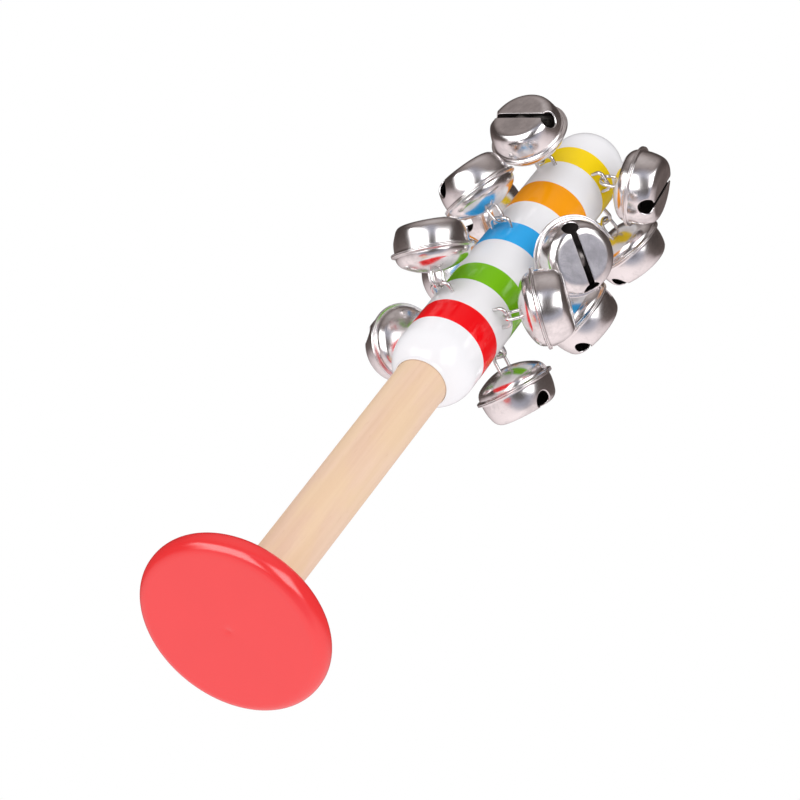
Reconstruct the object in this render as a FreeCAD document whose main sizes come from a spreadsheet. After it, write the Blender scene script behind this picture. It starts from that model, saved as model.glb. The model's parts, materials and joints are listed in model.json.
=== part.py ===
"""Sleigh bells on a stick: a wooden handle on a disc foot, with a turned head that carries
twelve jingle bells on wire staples.

The row frame has its origin at the centre of the foot's bottom face, and +Z runs up the stick
to the tip of the head. Lengths are in millimetres and angles in degrees.
"""
import FreeCAD, Part
import math
import os
import Sketcher

Vector = FreeCAD.Vector
Rotation = FreeCAD.Rotation
Placement = FreeCAD.Placement

doc = FreeCAD.newDocument("SleighBells")
sheet = doc.addObject("Spreadsheet::Sheet", "Dims")

DIMENSIONS = {
    # foot and handle
    "foot_radius": 28,
    "foot_thickness": 8,
    "foot_round": 3.7,
    "socket_depth": 5,
    "handle_radius": 7.95,
    "handle_length": 142,
    "handle_chamfer": 0.8,
    "glue_gap": 0.05,
    # head
    "head_base": 120.5,
    "neck_radius": 8.4,
    "shoulder_round": 13,
    "shoulder_end": 131,
    "head_radius": 12.7,
    "tip_radius": 11.8,
    "tip_start": 240.5,
    # staples, which stand off the head by the stand-off, measured to the wire's centre
    "staple_wire": 0.6,
    "staple_half_width": 3,
    "staple_bend": 1.5,
    "staple_depth": 7,
    "stand_off": 3,
    # bells, measured from the plane where the two cups meet
    "shell": 0.5,
    "rim_radius": 12.3,
    "rim_thickness": 0.45,
    "cup_radius": 11.15,
    "dome_height": 6.4,
    "dome_skirt": 0.6,
    "dome_corner": 3.6,
    "slotted_height": 8.4,
    "slotted_corner": 3.2,
    "slotted_face": 7.3,
    "slotted_side": 15,
    "slot_width": 1.8,
    "slot_reach": 8.8,
    "slot_hole_radius": 2.6,
    "slot_hole_tilt": 65,
    # shank loop, whose wire passes between the staple and the wood
    "loop_wire": 0.5,
    "loop_half_width": 2.75,
    "loop_inside": 1,
    "loop_gap": 0.1,
    "pivot_to_rim": 10,
    # pellet
    "pellet_radius": 3.2,
    "pellet_gap": 0.1,
}

# Every bell's staple height and azimuth, how far the bell hangs towards the tip (swing) and round
# the stick (lean), and how its slot is turned. A bell stick's bells hang unevenly.
HANGING = {
    "1a": (158, 30, -13, -9, 107),
    "1b": (152, 118, 14, -9, 60),
    "1c": (150, 210, 31, 0, 125),
    "1d": (151, 301, 28, 11, 67),
    "2a": (191, 14, 7, -4, 180),
    "2b": (191, 119, 16, -9, 100),
    "2c": (187, 220, 18, -30, 150),
    "2d": (189, 308, -38, -12, 85),
    "3a": (231, 12, 2, 6, 200),
    "3b": (226, 120, -4, 2, 20),
    "3c": (224, 211, -17, 10, 263),
    "3d": (227, 296, 5, 34, 182),
}

for row, (alias, number) in enumerate(DIMENSIONS.items(), start=1):
    sheet.set(f"A{row}", alias)
    sheet.set(f"B{row}", str(number))
    sheet.setAlias(f"B{row}", alias)
doc.recompute()


def dim(alias):
    """A driving dimension, read back from the sheet."""
    return float(getattr(sheet, alias))


# ---- helpers for sketches ----

def origin_plane(body, role):
    return next(plane for plane in body.Origin.OriginFeatures if plane.Role == role)


def new_sketch(body, name, role, lift=""):
    """A sketch on one of the body's own origin planes, lifted off it by an expression."""
    sketch = body.newObject("Sketcher::SketchObject", name)
    sketch.AttachmentSupport = [(origin_plane(body, role), "")]
    sketch.MapMode = "FlatFace"
    if lift:
        sketch.setExpression(".AttachmentOffset.Base.z", lift)
    return sketch


def line(start, end):
    return Part.LineSegment(Vector(*start, 0), Vector(*end, 0))


def arc(centre, radius, start, end):
    """An arc that runs counter-clockwise between two angles in degrees."""
    circle = Part.Circle(Vector(*centre, 0), Vector(0, 0, 1), radius)
    return Part.ArcOfCircle(circle, math.radians(start), math.radians(end))


def join(sketch, *pairs):
    """Meets end points; each entry is (edge, point, edge, point), 1 for start and 2 for end."""
    for pair in pairs:
        sketch.addConstraint(Sketcher.Constraint("Coincident", *pair))


def smooth(sketch, *pairs):
    """As join, and the two edges are tangent there."""
    for pair in pairs:
        sketch.addConstraint(Sketcher.Constraint("Tangent", *pair))


def square_up(sketch, horizontal=(), vertical=()):
    for edge in horizontal:
        sketch.addConstraint(Sketcher.Constraint("Horizontal", edge))
    for edge in vertical:
        sketch.addConstraint(Sketcher.Constraint("Vertical", edge))


def on_axis(sketch, *points):
    """Keeps points, each (edge, point), on the sketch's vertical axis."""
    for edge, point in points:
        sketch.addConstraint(Sketcher.Constraint("PointOnObject", edge, point, -2))


def bind(sketch, kind, refs, expression):
    """A driving dimension that follows cells of the sheet."""
    value = float(sheet.evalExpression(expression.replace("Dims.", "")))
    index = sketch.addConstraint(Sketcher.Constraint(kind, *refs, value))
    sketch.setExpression(f"Constraints[{index}]", expression)


def bind_point(sketch, edge, point, across="", up=""):
    """Binds a point's place, measured from the sketch's origin."""
    if across:
        bind(sketch, "DistanceX", (-1, 1, edge, point), across)
    if up:
        bind(sketch, "DistanceY", (-1, 1, edge, point), up)


# ---- helpers for features ----

def new_body(label, placement=None):
    body = doc.addObject("PartDesign::Body", label)
    body.Label = label
    if placement:
        body.Placement = placement
    return body


def pad_circle(body, name, radius, length, lift=""):
    sketch = new_sketch(body, f"{name}_outline", "XY_Plane", lift)
    sketch.addGeometry(Part.Circle(Vector(0, 0, 0), Vector(0, 0, 1), 1))
    join(sketch, (0, 3, -1, 1))
    bind(sketch, "Radius", (0,), radius)
    pad = body.newObject("PartDesign::Pad", name)
    pad.Profile = sketch
    pad.setExpression("Length", length)
    return pad


def revolve(body, name, sketch):
    feature = body.newObject("PartDesign::Revolution", name)
    feature.Profile = sketch
    feature.ReferenceAxis = (sketch, ["V_Axis"])
    feature.Angle = 360
    return feature


def cut_volume(body, tip_before):
    """Refuses a cutting feature that removed nothing."""
    doc.recompute()
    if body.Shape.Volume > tip_before - 1e-3:
        raise ValueError(f"a cut in {body.Label} removed nothing")


def circle_edges(feature, radius, height):
    """Names of the feature's circular edges with this radius at this height."""
    names = []
    for number, edge in enumerate(feature.Shape.Edges, start=1):
        curve = edge.Curve
        round_edge = isinstance(curve, Part.Circle) and abs(curve.Radius - radius) < 1e-3
        if round_edge and abs(curve.Center.z - height) < 1e-3:
            names.append(f"Edge{number}")
    return names


def dress(body, kind, name, base, edges, size_name, expression):
    feature = body.newObject(kind, name)
    feature.Base = (base, edges)
    feature.setExpression(size_name, expression)
    return feature


# ---- stick ----

def make_foot():
    body = new_body("foot")
    disc = pad_circle(body, "foot_disc", "Dims.foot_radius", "Dims.foot_thickness")
    doc.recompute()
    radius = dim("foot_radius")
    rims = circle_edges(disc, radius, 0) + circle_edges(disc, radius, dim("foot_thickness"))
    dress(body, "PartDesign::Fillet", "foot_rim", disc, rims, "Radius", "Dims.foot_round")
    doc.recompute()
    before = body.Shape.Volume
    sketch = new_sketch(body, "socket_outline", "XY_Plane", "Dims.foot_thickness")
    sketch.addGeometry(Part.Circle(Vector(0, 0, 0), Vector(0, 0, 1), 1))
    join(sketch, (0, 3, -1, 1))
    bind(sketch, "Radius", (0,), "Dims.handle_radius + Dims.glue_gap")
    socket = body.newObject("PartDesign::Pocket", "socket")
    socket.Profile = sketch
    socket.setExpression("Length", "Dims.socket_depth")
    cut_volume(body, before)
    return body


def make_handle():
    body = new_body("handle")
    bottom = "Dims.foot_thickness - Dims.socket_depth"
    dowel = pad_circle(body, "dowel", "Dims.handle_radius", "Dims.handle_length", bottom)
    doc.recompute()
    low = dim("foot_thickness") - dim("socket_depth")
    high = low + dim("handle_length")
    radius = dim("handle_radius")
    ends = circle_edges(dowel, radius, low) + circle_edges(dowel, radius, high)
    chamfer = "Dims.handle_chamfer"
    dress(body, "PartDesign::Chamfer", "dowel_ends", dowel, ends, "Size", chamfer)
    return body


def make_head_turning():
    """The turned head before the staples are driven in: shoulder, long taper and domed tip."""
    body = new_body("head_turning")
    sketch = new_sketch(body, "head_outline", "XZ_Plane")
    bore = dim("handle_radius") + dim("glue_gap")
    bore_top = dim("foot_thickness") - dim("socket_depth") + dim("handle_length")
    neck = dim("neck_radius")
    base = dim("head_base")
    shoulder = dim("head_radius")
    start = dim("shoulder_end")
    bend = dim("shoulder_round")
    side_end = dim("tip_radius")
    tip = dim("tip_start")
    turn = math.degrees(math.acos((bend - shoulder + neck) / bend))
    edges = [
        line((bore, bore_top), (bore, base)),
        line((bore, base), (neck, base)),
        line((neck, base), (neck, start - bend * math.sin(math.radians(turn)))),
        arc((shoulder - bend, start), bend, -turn, 0),
        line((shoulder, start), (side_end, tip)),
        arc((0, tip), side_end, 0, 90),
        line((0, tip + side_end), (0, bore_top)),
        line((0, bore_top), (bore, bore_top)),
    ]
    sketch.addGeometry(edges)
    join(sketch, (0, 2, 1, 1), (1, 2, 2, 1), (2, 2, 3, 1), (3, 2, 4, 1))
    join(sketch, (5, 2, 6, 1), (6, 2, 7, 1), (7, 2, 0, 1))
    smooth(sketch, (4, 2, 5, 1))
    square_up(sketch, horizontal=(1, 7), vertical=(0, 2))
    on_axis(sketch, (5, 3), (5, 2), (6, 2))
    bind_point(sketch, 0, 1, "Dims.handle_radius + Dims.glue_gap")
    bind_point(sketch, 0, 1, up="Dims.foot_thickness - Dims.socket_depth + Dims.handle_length")
    bind_point(sketch, 1, 2, "Dims.neck_radius", "Dims.head_base")
    bind_point(sketch, 4, 1, "Dims.head_radius", "Dims.shoulder_end")
    bind(sketch, "Radius", (3,), "Dims.shoulder_round")
    bind_point(sketch, 3, 3, up="Dims.shoulder_end")
    bind_point(sketch, 4, 2, up="Dims.tip_start")
    bind(sketch, "Radius", (5,), "Dims.tip_radius")
    revolve(body, "head_body", sketch)
    return body


# ---- wire pieces ----

def make_wire(label, placement, spine_name, edges, joints, bound, circle_lift, circle_across, radius):
    """A round wire bent along a sketched path, which starts on a plane across the wire."""
    body = new_body(label, placement)
    path = new_sketch(body, spine_name, "XZ_Plane")
    path.addGeometry(edges)
    smooth(path, *joints)
    for kind, refs, expression in bound:
        bind(path, kind, refs, expression)
    section = new_sketch(body, f"{spine_name}_section", "XY_Plane", circle_lift)
    across = float(sheet.evalExpression(circle_across.replace("Dims.", "")))
    section.addGeometry(Part.Circle(Vector(across, 0, 0), Vector(0, 0, 1), 0.5))
    bind_point(section, 0, 3, circle_across)
    section.addConstraint(Sketcher.Constraint("PointOnObject", 0, 3, -1))
    bind(section, "Radius", (0,), radius)
    pipe = body.newObject("PartDesign::AdditivePipe", f"{spine_name}_wire")
    pipe.Profile = section
    pipe.Spine = (path, [f"Edge{number}" for number in range(1, len(edges) + 1)])
    return body


def make_staple(name, placement):
    """Two legs and a crown; its own frame is at the crown's middle, with the legs along -Z."""
    half = dim("staple_half_width")
    bend = dim("staple_bend")
    foot = -dim("stand_off") - dim("staple_depth")
    edges = [
        line((half, foot), (half, -bend)),
        arc((half - bend, -bend), bend, 0, 90),
        line((half - bend, 0), (bend - half, 0)),
        arc((bend - half, -bend), bend, 90, 180),
        line((-half, -bend), (-half, foot)),
    ]
    joints = [(0, 2, 1, 1), (1, 2, 2, 1), (2, 2, 3, 1), (3, 2, 4, 1)]
    bound = [
        ("DistanceX", (-1, 1, 0, 1), "Dims.staple_half_width"),
        ("DistanceX", (-1, 1, 0, 2), "Dims.staple_half_width"),
        ("DistanceX", (4, 2, -1, 1), "Dims.staple_half_width"),
        ("DistanceX", (4, 1, -1, 1), "Dims.staple_half_width"),
        ("DistanceY", (0, 1, -1, 1), "Dims.stand_off + Dims.staple_depth"),
        ("DistanceY", (4, 2, -1, 1), "Dims.stand_off + Dims.staple_depth"),
        ("Radius", (1,), "Dims.staple_bend"),
        ("Radius", (3,), "Dims.staple_bend"),
        ("DistanceY", (0, 2, -1, 1), "Dims.staple_bend"),
    ]
    lift = "-Dims.stand_off - Dims.staple_depth"
    across = "Dims.staple_half_width"
    spine = f"staple_{name}_path"
    return make_wire(
        f"staple_{name}", placement, spine, edges, joints, bound, lift, across, "Dims.staple_wire"
    )


def make_loop(name, placement):
    """The shank loop of a bell, in the bell's frame: its legs go through the dome cup."""
    half = dim("loop_half_width")
    apex = -dim("pivot_to_rim") - dim("staple_wire") - dim("loop_wire") - dim("loop_gap")
    inner = dim("loop_inside") + dim("shell") - dim("dome_height")
    edges = [
        line((half, inner), (half, apex + half)),
        arc((0, apex + half), half, -180, 0),
        line((-half, apex + half), (-half, inner)),
    ]
    inside = "Dims.dome_height - Dims.shell - Dims.loop_inside"
    reach = "Dims.pivot_to_rim + Dims.staple_wire + Dims.loop_wire + Dims.loop_gap"
    bound = [
        ("DistanceX", (-1, 1, 0, 1), "Dims.loop_half_width"),
        ("DistanceX", (-1, 1, 0, 2), "Dims.loop_half_width"),
        ("DistanceX", (2, 2, -1, 1), "Dims.loop_half_width"),
        ("DistanceX", (2, 1, -1, 1), "Dims.loop_half_width"),
        ("DistanceY", (0, 1, -1, 1), inside),
        ("DistanceY", (2, 2, -1, 1), inside),
        ("DistanceY", (1, 3, -1, 1), f"{reach} - Dims.loop_half_width"),
    ]
    joints = [(0, 2, 1, 2), (1, 1, 2, 1)]
    lift = f"-({inside})"
    across = "Dims.loop_half_width"
    return make_wire(
        f"bell_{name}_shank_loop", placement, f"loop_{name}_path", edges, joints, bound, lift,
        across, "Dims.loop_wire"
    )


# ---- bell ----

def make_dome_cup(name, placement):
    """The cup with the shank: a shallow dome, a short skirt and its half of the rim."""
    body = new_body(f"bell_{name}_dome_cup", placement)
    sketch = new_sketch(body, f"dome_{name}_outline", "XZ_Plane")
    height = dim("dome_height")
    side = dim("cup_radius")
    skirt = dim("dome_skirt")
    corner = dim("dome_corner")
    shell = dim("shell")
    rim = dim("rim_radius")
    lip = dim("rim_thickness")
    rise = height - skirt
    run = side - corner
    crown = (run ** 2 + rise ** 2 - corner ** 2) / (2 * (rise - corner))
    turn = math.degrees(math.asin(run / (crown - corner))) - 90
    edges = [
        arc((0, crown - height), crown, -90, turn),
        arc((run, -skirt), corner, turn, 0),
        line((side, -skirt), (side, -lip)),
        line((side, -lip), (rim, -lip)),
        line((rim, -lip), (rim, 0)),
        line((rim, 0), (side - shell, 0)),
        line((side - shell, 0), (side - shell, -skirt)),
        arc((run, -skirt), corner - shell, turn, 0),
        arc((0, crown - height), crown - shell, -90, turn),
        line((0, shell - height), (0, -height)),
    ]
    sketch.addGeometry(edges)
    smooth(sketch, (0, 2, 1, 1), (1, 2, 2, 1), (6, 2, 7, 2), (7, 1, 8, 2))
    join(sketch, (2, 2, 3, 1), (3, 2, 4, 1), (4, 2, 5, 1), (5, 2, 6, 1))
    join(sketch, (8, 1, 9, 1), (9, 2, 0, 1), (7, 3, 1, 3), (8, 3, 0, 3))
    square_up(sketch, horizontal=(3, 5), vertical=(2, 4, 6))
    on_axis(sketch, (0, 1), (0, 3), (8, 1))
    bind(sketch, "DistanceY", (0, 1, -1, 1), "Dims.dome_height")
    bind(sketch, "DistanceY", (1, 3, -1, 1), "Dims.dome_skirt")
    bind(sketch, "Radius", (1,), "Dims.dome_corner")
    bind(sketch, "Radius", (7,), "Dims.dome_corner - Dims.shell")
    bind_point(sketch, 2, 2, "Dims.cup_radius")
    bind(sketch, "DistanceY", (2, 2, -1, 1), "Dims.rim_thickness")
    bind_point(sketch, 4, 2, "Dims.rim_radius")
    sketch.addConstraint(Sketcher.Constraint("PointOnObject", 4, 2, -1))
    revolve(body, f"dome_{name}_shell", sketch)
    doc.recompute()
    before = body.Shape.Volume
    holes = new_sketch(body, f"dome_{name}_loop_holes", "XY_Plane")
    half = dim("loop_half_width")
    for index, sign in enumerate((1, -1)):
        holes.addGeometry(Part.Circle(Vector(sign * half, 0, 0), Vector(0, 0, 1), 0.5))
        holes.addConstraint(Sketcher.Constraint("PointOnObject", index, 3, -1))
        bind(holes, "Radius", (index,), "Dims.loop_wire + Dims.glue_gap")
    bind(holes, "DistanceX", (-1, 1, 0, 3), "Dims.loop_half_width")
    bind(holes, "DistanceX", (1, 3, -1, 1), "Dims.loop_half_width")
    pocket = body.newObject("PartDesign::Pocket", f"dome_{name}_holes")
    pocket.Profile = holes
    pocket.Type = "ThroughAll"
    cut_volume(body, before)
    return body


def make_slotted_cup(name, placement):
    """The cup that rings: rounded sides, and a flat face with one slot and a hole at each end."""
    body = new_body(f"bell_{name}_slotted_cup", placement)
    sketch = new_sketch(body, f"slotted_{name}_outline", "XZ_Plane")
    height = dim("slotted_height")
    side = dim("cup_radius")
    corner = dim("slotted_corner")
    face = dim("slotted_face")
    shell = dim("shell")
    rim = dim("rim_radius")
    lip = dim("rim_thickness")
    bow = dim("slotted_side")
    apart = math.hypot(side - face, height - corner - lip)
    along = (bow ** 2 - (bow - corner) ** 2 + apart ** 2) / (2 * apart)
    across = math.sqrt(bow ** 2 - along ** 2)
    inward = (side - face) / apart
    upward = (height - corner - lip) / apart
    bow_centre = (side - along * inward - across * upward, lip + along * upward - across * inward)
    corner_centre = (face, height - corner)
    turn = math.degrees(math.atan2(height - corner - bow_centre[1], face - bow_centre[0]))
    start = math.degrees(math.asin((lip - bow_centre[1]) / bow))
    inner_start = math.degrees(math.asin(-bow_centre[1] / (bow - shell)))
    foot = (bow_centre[0] + (bow - shell) * math.cos(math.radians(inner_start)), 0)
    edges = [
        line(foot, (rim, 0)),
        line((rim, 0), (rim, lip)),
        line((rim, lip), (side, lip)),
        arc(bow_centre, bow, start, turn),
        arc(corner_centre, corner, turn, 90),
        line((face, height), (0, height)),
        line((0, height), (0, height - shell)),
        line((0, height - shell), (face, height - shell)),
        arc(corner_centre, corner - shell, turn, 90),
        arc(bow_centre, bow - shell, inner_start, turn),
    ]
    sketch.addGeometry(edges)
    smooth(sketch, (3, 2, 4, 1), (4, 2, 5, 1), (7, 2, 8, 2), (8, 1, 9, 2))
    join(sketch, (0, 2, 1, 1), (1, 2, 2, 1), (2, 2, 3, 1), (5, 2, 6, 1))
    join(sketch, (6, 2, 7, 1), (9, 1, 0, 1), (8, 3, 4, 3), (9, 3, 3, 3))
    square_up(sketch, horizontal=(2, 5, 7), vertical=(1,))
    on_axis(sketch, (5, 2), (6, 2))
    sketch.addConstraint(Sketcher.Constraint("PointOnObject", 0, 1, -1))
    sketch.addConstraint(Sketcher.Constraint("PointOnObject", 0, 2, -1))
    bind_point(sketch, 1, 2, "Dims.rim_radius", "Dims.rim_thickness")
    bind_point(sketch, 3, 1, "Dims.cup_radius")
    bind_point(sketch, 5, 1, "Dims.slotted_face", "Dims.slotted_height")
    bind(sketch, "Radius", (3,), "Dims.slotted_side")
    bind(sketch, "Radius", (4,), "Dims.slotted_corner")
    bind(sketch, "Radius", (8,), "Dims.slotted_corner - Dims.shell")
    revolve(body, f"slotted_{name}_shell", sketch)
    doc.recompute()
    before = body.Shape.Volume

    slot = new_sketch(body, f"slot_{name}_outline", "XY_Plane")
    reach = dim("slot_reach")
    half = dim("slot_width") / 2
    corners = [(reach, half), (-reach, half), (-reach, -half), (reach, -half)]
    slot.addGeometry([line(corners[k], corners[(k + 1) % 4]) for k in range(4)])
    join(slot, (0, 2, 1, 1), (1, 2, 2, 1), (2, 2, 3, 1), (3, 2, 0, 1))
    square_up(slot, horizontal=(0, 2), vertical=(1, 3))
    bind_point(slot, 0, 1, "Dims.slot_reach", "Dims.slot_width / 2")
    slot.addConstraint(Sketcher.Constraint("Symmetric", 0, 1, 1, 2, -1, 1))
    pocket = body.newObject("PartDesign::Pocket", f"slot_{name}_cut")
    pocket.Profile = slot
    pocket.Type = "ThroughAll"
    pocket.Reversed = True
    cut_volume(body, before)
    before = body.Shape.Volume

    hole = body.newObject("PartDesign::SubtractiveCylinder", f"slot_{name}_end_hole")
    hole.AttachmentSupport = [(origin_plane(body, "XY_Plane"), "")]
    hole.MapMode = "FlatFace"
    hole.setExpression("Radius", "Dims.slot_hole_radius")
    hole.setExpression("Height", "Dims.slotted_corner + 2 * Dims.shell")
    tilt = Rotation(Vector(0, 1, 0), dim("slot_hole_tilt"))
    hole.AttachmentOffset = Placement(Vector(face, 0, height - corner), tilt)
    doc.recompute()
    pair = body.newObject("PartDesign::PolarPattern", f"slot_{name}_both_holes")
    pair.Originals = [hole]
    pair.Axis = (slot, ["N_Axis"])
    pair.Angle = 360
    pair.Occurrences = 2
    body.Tip = pair
    cut_volume(body, before)
    return body


def make_pellet(name, bell_frame):
    """The loose ball, lying against the slotted face."""
    ball = doc.addObject("Part::Sphere", f"bell_{name}_pellet")
    ball.Label = f"bell_{name}_pellet"
    ball.setExpression("Radius", "Dims.pellet_radius")
    gap = dim("shell") + dim("pellet_gap")
    height = dim("slotted_height") - gap - dim("pellet_radius")
    ball.Placement = bell_frame.multiply(Placement(Vector(0, 0, height), Rotation()))
    return ball


# ---- where the staples and bells go ----

def head_surface(height):
    """The head's radius on its long taper."""
    along = (height - dim("shoulder_end")) / (dim("tip_start") - dim("shoulder_end"))
    return dim("head_radius") + along * (dim("tip_radius") - dim("head_radius"))


def staple_frame(height, azimuth):
    """At the crown's middle, with X along the crown, round the head, and Z away from the stick."""
    reach = head_surface(height) + dim("stand_off")
    outward = Rotation(Vector(0, 0, 1), azimuth).multVec(Vector(1, 0, 0))
    around = Rotation(Vector(0, 0, 1), azimuth).multVec(Vector(0, 1, 0))
    place = outward * reach + Vector(0, 0, height)
    return Placement(place, Rotation(around, outward.cross(around), outward, "ZXY"))


def bell_frame(height, azimuth, swing, lean):
    """At the middle of a bell's rim, with Z out through its slotted face and X across its loop."""
    stick_ways = Rotation(Vector(0, 0, 1), Vector(0, -1, 0), Vector(1, 0, 0), "ZXY")
    leaned = Rotation(Vector(0, 0, 1), lean).multiply(stick_ways)
    swung = Rotation(Vector(0, 1, 0), -swing).multiply(leaned)
    turned = Rotation(Vector(0, 0, 1), azimuth).multiply(swung)
    hook = dim("staple_wire") + dim("loop_wire") + dim("loop_gap")
    slack = hook / math.cos(math.radians(lean)) - hook
    pivot = staple_frame(height, azimuth).Base
    out = turned.multVec(Vector(0, 0, 1))
    return Placement(pivot + out * (dim("pivot_to_rim") - slack), turned)


# ---- assembly ----

foot = make_foot()
handle = make_handle()
head_turning = make_head_turning()
nodes = [foot, handle]
staple_bodies = []
for name, (height, azimuth, swing, lean, slot_turn) in HANGING.items():
    staple_bodies.append(make_staple(name, staple_frame(height, azimuth)))
    frame = bell_frame(height, azimuth, swing, lean)
    slot_frame = frame.multiply(Placement(Vector(0, 0, 0), Rotation(Vector(0, 0, 1), slot_turn)))
    nodes.append(make_dome_cup(name, frame))
    nodes.append(make_slotted_cup(name, slot_frame))
    nodes.append(make_loop(name, frame))
    nodes.append(make_pellet(name, frame))

staples = doc.addObject("Part::Compound", "staples")
staples.Label = "staples"
staples.Links = staple_bodies
head = doc.addObject("Part::Cut", "head")
head.Label = "head"
head.Base = head_turning
head.Tool = staples
nodes += [staples, head]
doc.recompute()

# ---- checks and export ----

for item in doc.Objects:
    if "Invalid" in item.State or "Error" in item.State:
        raise ValueError(f"{item.Label} failed: {item.State}")
for node in nodes:
    if node.Shape.isNull() or not node.Shape.isValid():
        raise ValueError(f"{node.Label} has no valid shape")

os.makedirs("parts", exist_ok=True)
for node in nodes:
    node.Shape.exportStep(f"parts/{node.Label}.step")
    solids = len(node.Shape.Solids)
    print(f"{node.Label}: {solids} solid(s), {node.Shape.Volume:.1f} mm3")
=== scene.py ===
"""Sleigh bells on a stick: the looks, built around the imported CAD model.

Everything is in metres in the CAD's frame: +Z runs up the stick from the middle of the foot's
bottom face. The foot, handle, head and bell cups are built here in the space that their CAD
nodes hold. The staples, shank loops and pellets are the CAD nodes themselves, with a finish.
"""
import json
import math

import bmesh
import bpy
import numpy as np
from mathutils import Matrix, Vector, noise


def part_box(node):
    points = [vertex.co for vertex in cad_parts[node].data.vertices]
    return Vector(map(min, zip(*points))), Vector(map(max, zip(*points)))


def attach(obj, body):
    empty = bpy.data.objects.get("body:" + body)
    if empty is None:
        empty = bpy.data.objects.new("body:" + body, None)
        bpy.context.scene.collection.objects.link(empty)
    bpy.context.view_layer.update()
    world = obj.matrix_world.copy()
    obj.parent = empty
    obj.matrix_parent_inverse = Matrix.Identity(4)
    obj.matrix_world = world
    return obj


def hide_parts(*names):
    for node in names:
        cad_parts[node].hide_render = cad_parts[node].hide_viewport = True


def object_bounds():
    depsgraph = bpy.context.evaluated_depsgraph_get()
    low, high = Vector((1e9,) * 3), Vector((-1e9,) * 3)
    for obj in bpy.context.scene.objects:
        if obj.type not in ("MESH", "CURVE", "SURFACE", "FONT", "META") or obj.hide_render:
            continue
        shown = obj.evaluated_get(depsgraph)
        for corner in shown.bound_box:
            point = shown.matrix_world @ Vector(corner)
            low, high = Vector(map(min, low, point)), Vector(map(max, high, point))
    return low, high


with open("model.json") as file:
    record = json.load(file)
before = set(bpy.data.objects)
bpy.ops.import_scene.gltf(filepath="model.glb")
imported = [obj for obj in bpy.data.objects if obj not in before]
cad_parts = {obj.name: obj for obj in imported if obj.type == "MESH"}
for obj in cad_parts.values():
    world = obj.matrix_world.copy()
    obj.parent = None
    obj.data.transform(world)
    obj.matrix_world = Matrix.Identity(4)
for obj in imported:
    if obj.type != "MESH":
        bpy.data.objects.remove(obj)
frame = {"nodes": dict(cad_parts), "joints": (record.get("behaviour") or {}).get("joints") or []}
cad_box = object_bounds()

MM = 0.001
ON_AXIS = 1e-9
SAME_HEIGHT = 1e-6
JOINTS = {joint["name"]: joint for joint in frame["joints"]}
BELL_NAMES = [name[len("bell_"):-len("_swing")] for name in JOINTS if name.endswith("_swing")]


# ---- camera, floor and light ----

CAMERA_PLACE = Vector((-0.0034, -0.7866, -0.7098))
CAMERA_AHEAD = Vector((0.0015, 0.6924, 0.7215)).normalized()
CAMERA_UP = Vector((-0.6149, -0.5684, 0.5466))
LENS = 180
SENSOR = 36


def make_camera():
    """Below the foot and in front, looking up the stick, with a long lens.

    Gives the camera's right, up and back directions, which the studio is laid out by.
    """
    data = bpy.data.cameras.new("camera")
    data.lens = LENS
    data.sensor_width = SENSOR
    camera = bpy.data.objects.new("camera", data)
    bpy.context.scene.collection.objects.link(camera)
    right = CAMERA_AHEAD.cross(CAMERA_UP).normalized()
    up = right.cross(CAMERA_AHEAD)
    turn = Matrix((right, up, -CAMERA_AHEAD)).transposed()
    camera.matrix_world = Matrix.Translation(CAMERA_PLACE) @ turn.to_4x4()
    bpy.context.scene.camera = camera
    return right, up, -CAMERA_AHEAD


def add_node(tree, kind, inputs=(), **settings):
    """A shader node with its settings, whose inputs are numbers, colours or other sockets."""
    node = tree.nodes.new(kind)
    for key, value in settings.items():
        setattr(node, key, value)
    for key, value in dict(inputs).items():
        if isinstance(value, bpy.types.NodeSocket):
            tree.links.new(value, node.inputs[key])
        else:
            node.inputs[key].default_value = value
    return node


def calculate(tree, operation, first, second=0.0, third=0.0):
    inputs = {0: first, 1: second, 2: third}
    return add_node(tree, "ShaderNodeMath", inputs, operation=operation).outputs[0]


def dot(tree, vector, axis):
    node = add_node(tree, "ShaderNodeVectorMath", {0: vector, 1: axis}, operation="DOT_PRODUCT")
    return node.outputs["Value"]


def soft_step(tree, value, low, high):
    """0 below low, 1 above high, and smooth between."""
    inputs = {"Value": value, "From Min": low, "From Max": high}
    node = add_node(tree, "ShaderNodeMapRange", inputs, interpolation_type="SMOOTHSTEP")
    return node.outputs["Result"]


def between(tree, value, low, high, edge):
    """1 between low and high, with soft edges."""
    rise = soft_step(tree, value, low - edge, low + edge)
    fall = soft_step(tree, value, high + edge, high - edge)
    return calculate(tree, "MULTIPLY", rise, fall)


def blend_colours(tree, share, first, second):
    """The first colour where share is 0, the second where it is 1."""
    node = tree.nodes.new("ShaderNodeMix")
    node.data_type = "RGBA"
    open_inputs = [socket for socket in node.inputs if socket.enabled]
    for socket, value in zip(open_inputs, (share, first, second)):
        if isinstance(value, bpy.types.NodeSocket):
            tree.links.new(value, socket)
        else:
            socket.default_value = value
    return [socket for socket in node.outputs if socket.enabled][0]


def ramp(tree, value, stops):
    """A colour ramp through (position, colour) stops."""
    node = add_node(tree, "ShaderNodeValToRGB", {"Fac": value})
    elements = node.color_ramp.elements
    elements[0].position, elements[0].color = stops[0]
    elements[1].position, elements[1].color = stops[-1]
    for position, colour in stops[1:-1]:
        elements.new(position).color = colour
    return node.outputs["Color"]


def rgb(red, green, blue):
    return (red, green, blue, 1.0)


def darker(colour, share):
    """The colour with its channels scaled down to that share."""
    return rgb(*(share * channel for channel in colour[:3]))


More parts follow.
